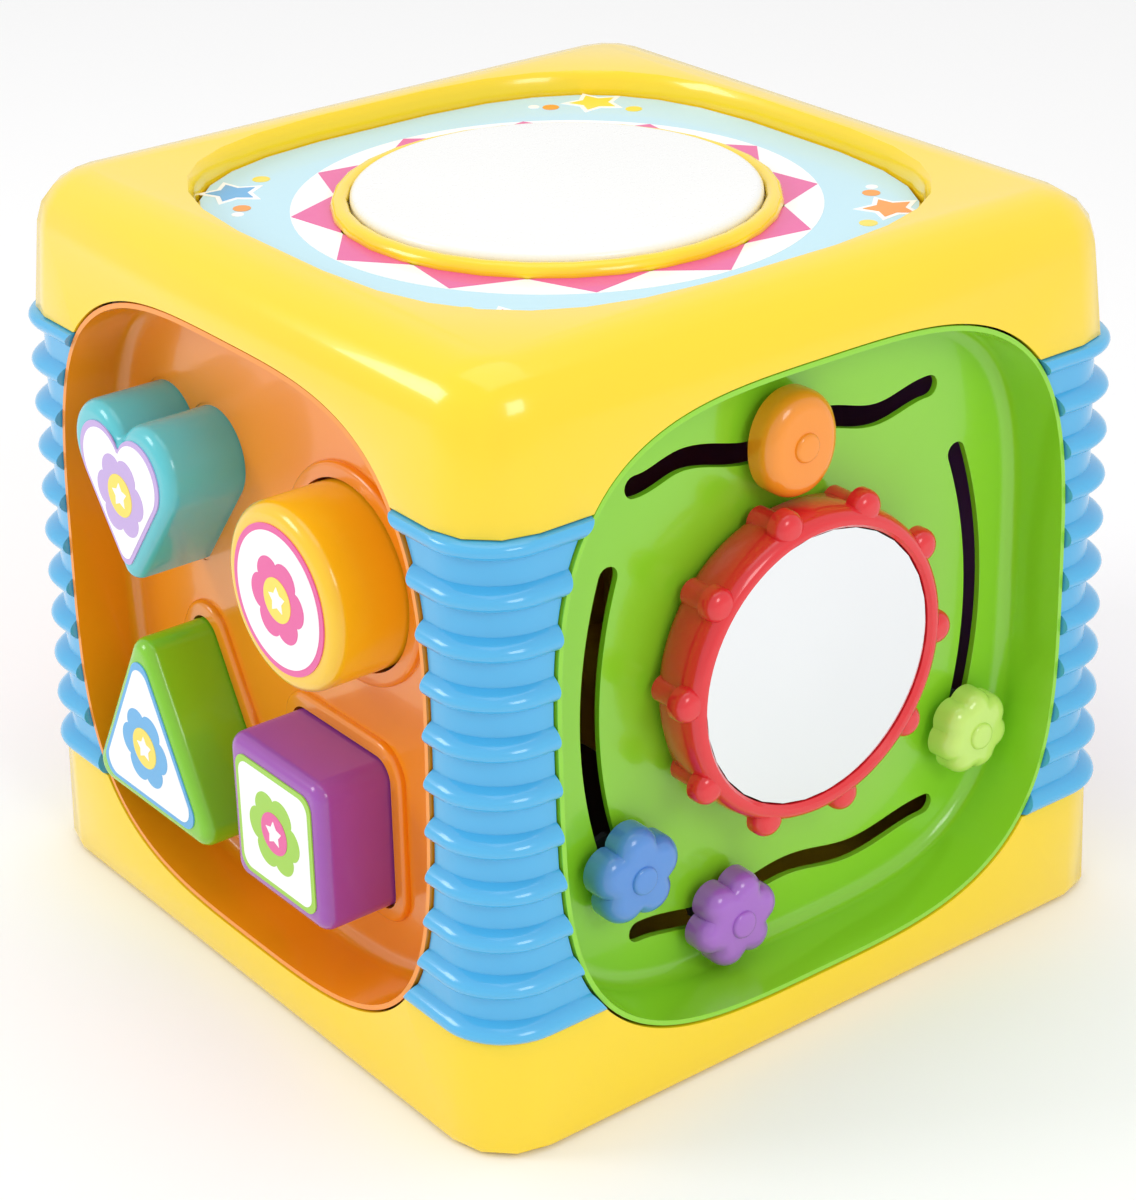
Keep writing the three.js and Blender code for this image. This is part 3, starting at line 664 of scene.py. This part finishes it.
@dataclass
class Shell:
    """The moulded shells and panels, whose edges are rounded from the frame's own shapes."""

    arched: tuple[str, ...] = ("top_cap", "bottom_base")
    radii: dict[str, float] = field(default_factory=lambda: {
        "top_cap": 1.6, "bottom_base": 1.6, "gear_panel": 1.0, "keyboard_panel": 1.0,
        "drum_deck": 0.7, "drum_collar": 1.0})

    def build(self, shop: Workshop, nodes: dict[str, tuple[str, str]]) -> None:
        """Rounds each shell in turn and hands it over in its slot."""
        for node, width in self.radii.items():
            piece = merged_copy(shop.frame, node)
            if node in self.arched:
                for side in (Side.FRONT, Side.RIGHT):
                    cut_arch(piece, side)
            soften(piece, width)
            body, slot = nodes[node]
            shop.hand_over(piece, body, slot, replaces=(node,))


def cut_arch(obj: bpy.types.Object, side: Side) -> None:
    """Cuts the smooth rounded-square opening of one face through a piece of the body."""
    outline = superellipse(TRAY_HALF_U + ARCH_GAP, TRAY_HALF_V + ARCH_GAP, TRAY_POWER, TRAY_MIDDLE, 240)
    combine(obj, prism("arch", outline, ARCH_FROM, ARCH_TO, side=side), "DIFFERENCE")


@dataclass
class Posts:
    """The four corner posts, each with a stack of rounded ribs."""

    seam: float = 42.0
    top: float = 220.0
    ribs: int = 11
    pitch: float = 17.2
    first: float = 45.0
    valley: float = -1.8
    swell: float = 4.0
    reach: float = 4.4
    corner: float = 24.0
    inner: float = 137.0
    inner_corner: float = 20.0

    def levels(self) -> list[Point]:
        """Gives each ring's height and half width, from the seam up."""
        rings = [(self.seam, self.valley)]
        for i in range(self.ribs):
            for k in range(-4, 5):
                height = self.first + self.pitch * i + self.reach * k / 4
                if self.seam < height < self.top:
                    rings.append((height, self.valley + self.swell * math.cos(math.pi * k / 8) ** 0.8))
        rings.append((self.top, self.valley))
        return [(z, body_half(z) + offset) for z, offset in rings]

    def build(self, shop: Workshop, nodes: dict[str, tuple[str, str]]) -> None:
        """Draws the ribbed sleeve upwards, cuts it into four corners and hands each over."""
        (low, width), *rest = self.levels()
        square = rounded(square_corners(width), self.corner, 14)
        sleeve = plate("ribbed_sleeve", square, low)
        pick(sleeve)
        bpy.ops.object.mode_set(mode="EDIT")
        bpy.ops.mesh.select_all(action="SELECT")
        for height, half in rest:
            bpy.ops.mesh.extrude_region_move(TRANSFORM_OT_translate={"value": (0, 0, height - low)})
            bpy.ops.transform.resize(value=(half / width, half / width, 1))
            low, width = height, half
        face_outwards(sleeve)
        inside = rounded(square_corners(self.inner), self.inner_corner, 10)
        combine(sleeve, prism("cutter", inside, self.seam - 5, self.top + 5), "DIFFERENCE")
        sleeve.data.transform(Side.TOP.matrix())
        for side in (Side.FRONT, Side.RIGHT, Side.BACK, Side.LEFT):
            cut_arch(sleeve, side)
        pick(sleeve)
        bpy.ops.object.mode_set(mode="EDIT")
        bpy.ops.mesh.separate(type="LOOSE")
        bpy.ops.object.mode_set(mode="OBJECT")
        for post in list(bpy.context.selected_objects):
            middle = sum((v.co for v in post.data.vertices), Vector()) / len(post.data.vertices)
            place = ("back_" if middle.y > 0 else "front_") + ("right" if middle.x > 0 else "left")
            post.name = place + "_ribbed_post"
            pick(post)
            bpy.ops.object.shade_smooth_by_angle(angle=math.radians(40))
            node = "corner_post_" + place
            shop.hand_over(post, nodes[node][0], nodes[node][1], replaces=(node,))


@dataclass
class Toys:
    """The loose and moving pieces that keep the frame's shape with rounded edges."""

    edge: float = 1.2
    names: tuple[str, ...] = ("large_gear", "small_gear", "middle_gear", "pinwheel",
                              "power_switch", "speaker",
                              *(f"piano_key_{i}" for i in range(1, 6)))

    def build(self, shop: Workshop, nodes: dict[str, tuple[str, str]]) -> None:
        """Rounds each toy and hands it over."""
        for node in self.names:
            piece = merged_copy(shop.frame, node)
            soften(piece, self.edge)
            body, slot = nodes[node]
            shop.hand_over(piece, body, slot, replaces=(node,))


def body_half(height: float) -> float:
    """Gives half the drafted body's width at a height in mm."""
    steps = ((-3, 146), (42, 145), (220, 142), (271, 138))
    for (z0, w0), (z1, w1) in zip(steps, steps[1:]):
        if height <= z1:
            return w0 + (w1 - w0) * (height - z0) / (z1 - z0)
    return steps[-1][1]


BLOCKS = {
    "heart": (heart(-60, 172), (-60, 172), "turquoise_plastic", "lilac_ink", "yellow_ink"),
    "round": (ring_points(40, 169, 33, 96), (40, 169), "sun_plastic", "pink_ink", "yellow_ink"),
    "triangle": (rounded([(-58.5, 123.5), (-102.5, 43.5), (-14.5, 43.5)], 8, 12), (-58.5, 71.5),
                 "lime_plastic", "blue_ink", "yellow_ink"),
    "square": (rounded([(57, 46), (57, 104), (-1, 104), (-1, 46)], 7, 12), (28, 75),
               "violet_plastic", "green_ink", "pink_ink"),
}


@dataclass
class Dish:
    """A deep rounded tray let into one face, whose rim follows the drafted body."""

    node: str
    side: Side
    cuts: list[list[Point]]
    collars: list[list[Point]]
    floor: float = 118.0
    skin: float = 2.5
    rim: float = 141.0
    wall: float = 1.8
    fillet: float = 6.0
    steps: int = 7

    def tray(self) -> bpy.types.Object:
        """Presses the tray from a plate and fits its rim to the body's draft."""
        outline = superellipse(TRAY_HALF_U, TRAY_HALF_V, TRAY_POWER, TRAY_MIDDLE)
        obj = prism(self.node + "_tray", outline, self.floor - self.skin, self.rim)
        pick(obj)
        bpy.ops.object.mode_set(mode="EDIT")
        bpy.ops.mesh.inset(thickness=self.wall, depth=0)
        bpy.ops.mesh.inset(thickness=0.8, depth=self.floor + self.fillet - self.rim)
        for i in range(1, self.steps + 1):
            before, now = (math.pi / 2 * k / self.steps for k in (i - 1, i))
            bpy.ops.mesh.inset(thickness=self.fillet * (math.cos(before) - math.cos(now)),
                               depth=self.fillet * (math.sin(before) - math.sin(now)))
        face_outwards(obj)
        low = self.floor + self.fillet
        for vertex in obj.data.vertices:
            share = max(0.0, (vertex.co.z - low) / (self.rim - low))
            vertex.co.z += share * (body_half(vertex.co.y) - 0.5 - self.rim)
        return obj

    def build(self, shop: Workshop, nodes: dict[str, tuple[str, str]]) -> None:
        """Adds the collars, cuts the openings, rounds the edges and hands the tray over."""
        obj = self.tray()
        for outline in self.cuts:
            combine(obj, prism("cutter", outline, self.floor - 12, self.floor + 12), "DIFFERENCE")
        collars = []
        for outline, hole in zip(self.collars, self.cuts):
            collar = prism("collar", grown(outline, 6.5), self.floor - 0.4, self.floor + 2.6, 2.0)
            face_outwards(collar)
            combine(collar, prism("cutter", hole, self.floor - 12, self.floor + 12), "DIFFERENCE")
            collars.append(collar)
        if collars:
            gather(obj, *collars)
        settle(obj, self.side)
        soften(obj, 0.7, 2, 50)
        body, slot = nodes[self.node]
        shop.hand_over(obj, body, slot, replaces=(self.node,))


@dataclass
class Blocks:
    """The four sorting blocks with their stickers."""

    back: float = 104.0
    front: float = 148.5
    edge: float = 5.0
    sticker: float = 149.2
    card: float = 0.8

    def build(self, shop: Workshop) -> None:
        """Moulds each block and lays a bordered sticker on its front."""
        for name, (outline, middle, slot, border, _) in BLOCKS.items():
            body = name + "_piece"
            block = prism(name + "_toy", outline, self.back, self.front, self.edge, 6, Side.FRONT)
            shop.hand_over(block, body, slot, replaces=(name + "_block",))
            card = prism(name + "_card", shrunk(outline, middle, self.card), self.front - 0.1,
                         self.sticker - 0.2, side=Side.FRONT)
            shop.hand_over(card, body, "printed_film", border, replaces=(name + "_sticker",))
            face = prism(name + "_card_face", shrunk(outline, middle, self.card - 0.07), self.sticker - 0.3,
                         self.sticker, side=Side.FRONT)
            shop.hand_over(face, body, "printed_film", "white_ink")


@dataclass
class Mirror:
    """The tambourine ring around the mirror, with ten lobes that run through its thickness."""

    height: float = MIRROR_HEIGHT
    lobes: int = 10
    lobe: float = 6.2
    reach: float = 56.2
    root: float = 5.0
    root_reach: float = 54.0
    phase: float = -4.0

    def build(self, shop: Workshop) -> None:
        """Spins the ring, gathers its lobes, back plate and hub, and hands it over."""
        profile = [(49.8, 122), (54, 120), (56.5, 124), (56.8, 134), (56.0, 138.2), (54.4, 140.6),
                   (52.6, 141.4), (51.0, 141.1), (49.9, 139.8)]
        ring = lathe("tambourine_ring", profile, Side.RIGHT, 0, self.height)
        extras = [prism("back_plate", ring_points(0, self.height, 53, 96), 119.6, 125, side=Side.RIGHT),
                  prism("hub", ring_points(0, self.height, 8, 32), 105, 120.5, side=Side.RIGHT)]
        for i in range(self.lobes):
            t = math.radians(self.phase + 360 / self.lobes * i)
            place = (self.reach * math.cos(t), self.height + self.reach * math.sin(t))
            root = (self.root_reach * math.cos(t), self.height + self.root_reach * math.sin(t))
            extras.append(prism("lobe_root", ring_points(*root, self.root, 32), 122, 134.5, side=Side.RIGHT))
            extras.append(prism("lobe", ring_points(*place, self.lobe, 32), 134.0, 141, 4.4, 6, Side.RIGHT))
        gather(ring, *extras)
        shop.hand_over(ring, "mirror", "red_plastic", replaces=("mirror_ring",))


@dataclass
class Drum:
    """The drum's pad: a shallow dome with a rounded rim and a skirt that ends in a flange."""

    top: float = 269.0
    crown: float = 0.8
    radius: float = 72.4
    round_over: float = 3.0
    flange: float = 76.0
    skirt: float = 254.4
    wall: float = 2.4
    travel: float = 0.0035

    def build(self, shop: Workshop, nodes: dict[str, tuple[str, str]]) -> None:
        """Spins the pad and hands it over, and hands over a smoothed copy of its spring."""
        flat = self.radius - self.round_over
        dome = [(flat * i / 12, self.top + self.crown * (1 - (i / 12) ** 2)) for i in range(12)]
        rim = arc(flat, self.top - self.round_over, self.round_over, 90, 0, 8)
        outside = [(self.radius, self.skirt + self.wall), (self.flange, self.skirt + self.wall),
                   (self.flange, self.skirt), (self.radius - self.wall, self.skirt)]
        inside = [(self.radius - self.wall, self.top - 4), (0, self.top - 3)]
        pad = lathe("drum_head", dome + rim + outside + inside, Side.TOP, steps=128)
        body, slot = nodes["drum_pad"]
        shop.hand_over(pad, body, slot, replaces=("drum_pad",))
        spring = merged_copy(shop.frame, "drum_spring")
        bpy.ops.object.shade_smooth_by_angle(angle=math.radians(50))
        shop.hand_over(spring, nodes["drum_spring"][0], nodes["drum_spring"][1], replaces=("drum_spring",))
        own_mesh(spring)


@dataclass
class Knobs:
    """The four puffy knobs that ride in the mirror panel's slots."""

    back: float = 122.6
    front: float = 133.4
    stem: float = 1.5
    foot: float = 119.6
    foot_radius: float = 9.0
    button: float = 5.2
    raised: float = 1.4

    def build(self, shop: Workshop, nodes: dict[str, tuple[str, str]]) -> None:
        """Moulds each knob about the middle of its frame node and joins its stem."""
        shapes = {"ladybird": (0, 0, 0.0), "daisy": (5, 4.0, math.pi / 2), "blossom": (6, 4.0, 0.2),
                  "shell": (7, 2.2, 0.6)}
        for name, (count, depth, phase) in shapes.items():
            low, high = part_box(name + "_slider")
            x, y = (low.y + high.y) / 2 / MM, (low.z + high.z) / 2 / MM - LIFT
            half_u, half_v = (high.y - low.y) / 2 / MM, (high.z - low.z) / 2 / MM
            if count:
                outline = petals(x, y, count, min(half_u, half_v) - depth / 2, depth, phase)
            else:
                outline = [(x + u, v) for u, v in superellipse(half_u, half_v, 2.1, y, 72)]
            knob = prism(name + "_knob_cap", outline, self.back, self.front, 6.0, 7, Side.RIGHT)
            button = prism("button", ring_points(x, y, self.button, 32), self.front - 1,
                           self.front + self.raised, self.raised, 4, Side.RIGHT)
            foot = prism("foot", ring_points(x, y, self.foot_radius, 32), self.foot, self.back + 1,
                         side=Side.RIGHT)
            stem = prism("stem", ring_points(x, y, self.stem, 16), 110, self.foot + 1, side=Side.RIGHT)
            gather(knob, button, foot, stem)
            body, slot = nodes[name + "_slider"]
            shop.hand_over(knob, body, slot, replaces=(name + "_slider",))


@dataclass
class Prints:
    """The printed decorations, each a film 0.15 mm thick that lies on its plate."""

    thick: float = 0.15
    sink: float = 0.02
    label: float = 262.3
    sticker: float = 149.2
    inner: float = 79.5
    outer: float = 93.3
    rays: int = 12
    ray_share: float = 0.96
    motif_reach: float = 116.0
    count: int = 0

    def ink(self, shop: Workshop, outline: list[Point], side: Side, level: float, ink: str, body: str,
            layer: int = 0) -> None:
        """Lays one printed shape on its plate.

        Args:
            shop: Where the finishes are.
            outline: The shape, in mm.
            side: The face it is printed on.
            level: The plate's height.
            ink: The finish.
            body: The body it rides on.
            layer: How many printed layers lie under it.
        """
        self.count += 1
        low = level + layer * self.thick
        obj = prism(f"print_{self.count:03d}", outline, low - self.sink, low + self.thick, side=side)
        shop.hand_over(obj, body, "printed_film", ink)

    def starburst(self, shop: Workshop) -> None:
        """Prints the white ring about the drum and its pointed rays."""
        low, high = self.label - self.sink, self.label + self.thick
        disc = [(self.inner, low), (self.outer, low), (self.outer, high), (self.inner, high)]
        shop.hand_over(lathe("starburst_disc", disc, Side.TOP), "cube", "printed_film", "white_ink")
        root, tip = self.inner + 0.1, self.outer - 0.3
        half = math.pi / self.rays * self.ray_share
        for i in range(self.rays):
            middle = 2 * math.pi / self.rays * i
            ray = [(r * math.cos(t), r * math.sin(t))
                   for r, t in ((root, middle - half), (tip, middle), (root, middle + half))]
            self.ink(shop, ray, Side.TOP, self.label, "pink_ink", "cube", 1)

    def corners(self, shop: Workshop) -> None:
        """Prints a bordered star and three dots in each corner of the label."""
        dots = ((17, 3.2, "orange_ink"), (-17, 3.2, "yellow_ink"), (24, 2.2, "white_ink"))
        for i, ink in enumerate(("orange_ink", "yellow_ink", "blue_ink", "pink_ink")):
            turn = math.radians(45 + 90 * i)
            x, y = self.motif_reach * math.cos(turn), self.motif_reach * math.sin(turn)
            self.ink(shop, star(x, y, 13), Side.TOP, self.label, "white_ink", "cube")
            self.ink(shop, star(x, y, 9.5), Side.TOP, self.label, ink, "cube", 1)
            for away, size, dot in dots:
                u, v = x - away * math.sin(turn), y + away * math.cos(turn)
                self.ink(shop, ring_points(u * 0.94, v * 0.94, size, 24), Side.TOP, self.label, dot, "cube")

    def build(self, shop: Workshop) -> None:
        """Prints the starburst, the label's small motifs and the four stickers."""
        self.starburst(shop)
        self.corners(shop)
        for name, (_, (x, y), _, first, second) in BLOCKS.items():
            body = name + "_piece"
            self.ink(shop, petals(x, y, 6, 14, 3, 0), Side.FRONT, self.sticker, first, body)
            self.ink(shop, ring_points(x, y, 8, 40), Side.FRONT, self.sticker, second, body, 1)
            self.ink(shop, star(x, y, 5), Side.FRONT, self.sticker, "white_ink", body, 2)


def slot_paths() -> list[list[Point]]:
    """Gives the middle lines of the mirror panel's two wavy slots and two arched ones."""
    top = wave([-62, -41, -12, 17, 43, 68], 211, -0.035, -1)
    bottom = wave([-62, -30, 4.5, 37, 73], 42, 0, 1)
    right = arc(-71.8, 124, 165, -16.5, 20.6, 30)
    left = arc(83.4, 130, 165, 198.7, 161.6, 30)
    return [top, bottom, right, left]


def node_table(frame: dict) -> dict[str, tuple[str, str]]:
    """Gives the body and the material slot of each node of the frame.


    Returns:
        The body and slot, by node.
    """
    slots = {part["node"]: part["material_slot"] for part in frame["record"]["subparts"]}
    return {name: (body_of(obj)[0], slots[name]) for name, obj in frame["nodes"].items()}


@dataclass(frozen=True)
class Studio:
    """A pale floor, soft lights and the camera."""

    azimuth: float = 52.32
    elevation: float = 25.625
    roll: float = -1.085
    place: tuple[float, float, float] = (0.79785, -0.61313, 0.60784)
    lens: float = 95.54
    shift: tuple[float, float] = (-0.0025, -0.034)

    def floor(self) -> None:
        """Adds the floor and its pale finish."""
        clear_selection()
        bpy.ops.mesh.primitive_plane_add(size=12)
        plane = bpy.context.object
        plane.name = "studio_floor"
        paper = bpy.data.materials.new("paper")
        paper.use_nodes = True
        paper.node_tree.nodes["Principled BSDF"].inputs["Base Color"].default_value = (0.97, 0.97, 0.97, 1)
        paper.node_tree.nodes["Principled BSDF"].inputs["Roughness"].default_value = 0.8
        plane.data.materials.append(paper)

    def light(self, name: str, place: tuple[float, float, float], size: float, power: float) -> None:
        """Adds a square softbox that faces the cube."""
        data = bpy.data.lights.new(name, "AREA")
        data.size, data.energy = size, power
        lamp = bpy.data.objects.new(name, data)
        bpy.context.collection.objects.link(lamp)
        lamp.location = place
        lamp.rotation_euler = (Vector((0, 0, 0.13)) - Vector(place)).to_track_quat("-Z", "Y").to_euler()

    def camera(self) -> None:
        """Adds the camera."""
        a, e, roll = (math.radians(v) for v in (self.azimuth, self.elevation, self.roll))
        back = Vector((math.sin(a) * math.cos(e), -math.cos(a) * math.cos(e), math.sin(e)))
        right = Vector((math.cos(a), math.sin(a), 0))
        up = back.cross(right)
        x = right * math.cos(roll) + up * math.sin(roll)
        y = -right * math.sin(roll) + up * math.cos(roll)
        data = bpy.data.cameras.new("camera")
        data.sensor_width, data.lens = 36, self.lens
        data.shift_x, data.shift_y = self.shift
        data.sensor_fit = "HORIZONTAL"
        cam = bpy.data.objects.new("camera", data)
        bpy.context.collection.objects.link(cam)
        cam.matrix_world = Matrix.Translation(self.place) @ Matrix((x, y, back)).transposed().to_4x4()
        bpy.context.scene.camera = cam

    def build(self) -> None:
        """Sets up the world, lights, floor and camera."""
        world = bpy.data.worlds.new("studio")
        world.use_nodes = True
        world.node_tree.nodes["Background"].inputs["Color"].default_value = (1, 1, 1, 1)
        world.node_tree.nodes["Background"].inputs["Strength"].default_value = 0.84
        bpy.context.scene.world = world
        bpy.context.scene.view_settings.view_transform = "Standard"
        self.floor()
        self.light("left_softbox", (-0.9, -1.4, 1.1), 0.6, 6.5)
        self.light("right_softbox", (1.6, -0.2, 1.2), 0.6, 5.5)
        self.light("overhead_softbox", (0, 0, 1.7), 1.2, 4)
        self.camera()


def main() -> None:
    """Builds the cube's pieces in order."""
    logging.basicConfig(level=logging.INFO, format="%(message)s")
    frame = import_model()
    Studio().build()
    shop = Workshop(frame)
    table = node_table(frame)
    for name, (_, slot) in table.items():
        shop.paint(frame["nodes"][name], slot)
    Shell().build(shop, table)
    Posts().build(shop, table)
    Toys().build(shop, table)
    outlines = [outline for outline, *_ in BLOCKS.values()]
    Dish("sorter_panel", Side.FRONT, [grown(outline, 1) for outline in outlines], outlines).build(shop, table)
    holes = [ribbon(path, SLOT_HALF) for path in slot_paths()]
    bore = ring_points(0, MIRROR_HEIGHT, MIRROR_BORE, 40)
    Dish("mirror_panel", Side.RIGHT, [*holes, bore], []).build(shop, table)
    Blocks().build(shop)
    Mirror().build(shop)
    Drum().build(shop, table)
    Knobs().build(shop, table)
    Prints().build(shop)


if __name__ == "__main__":
    main()
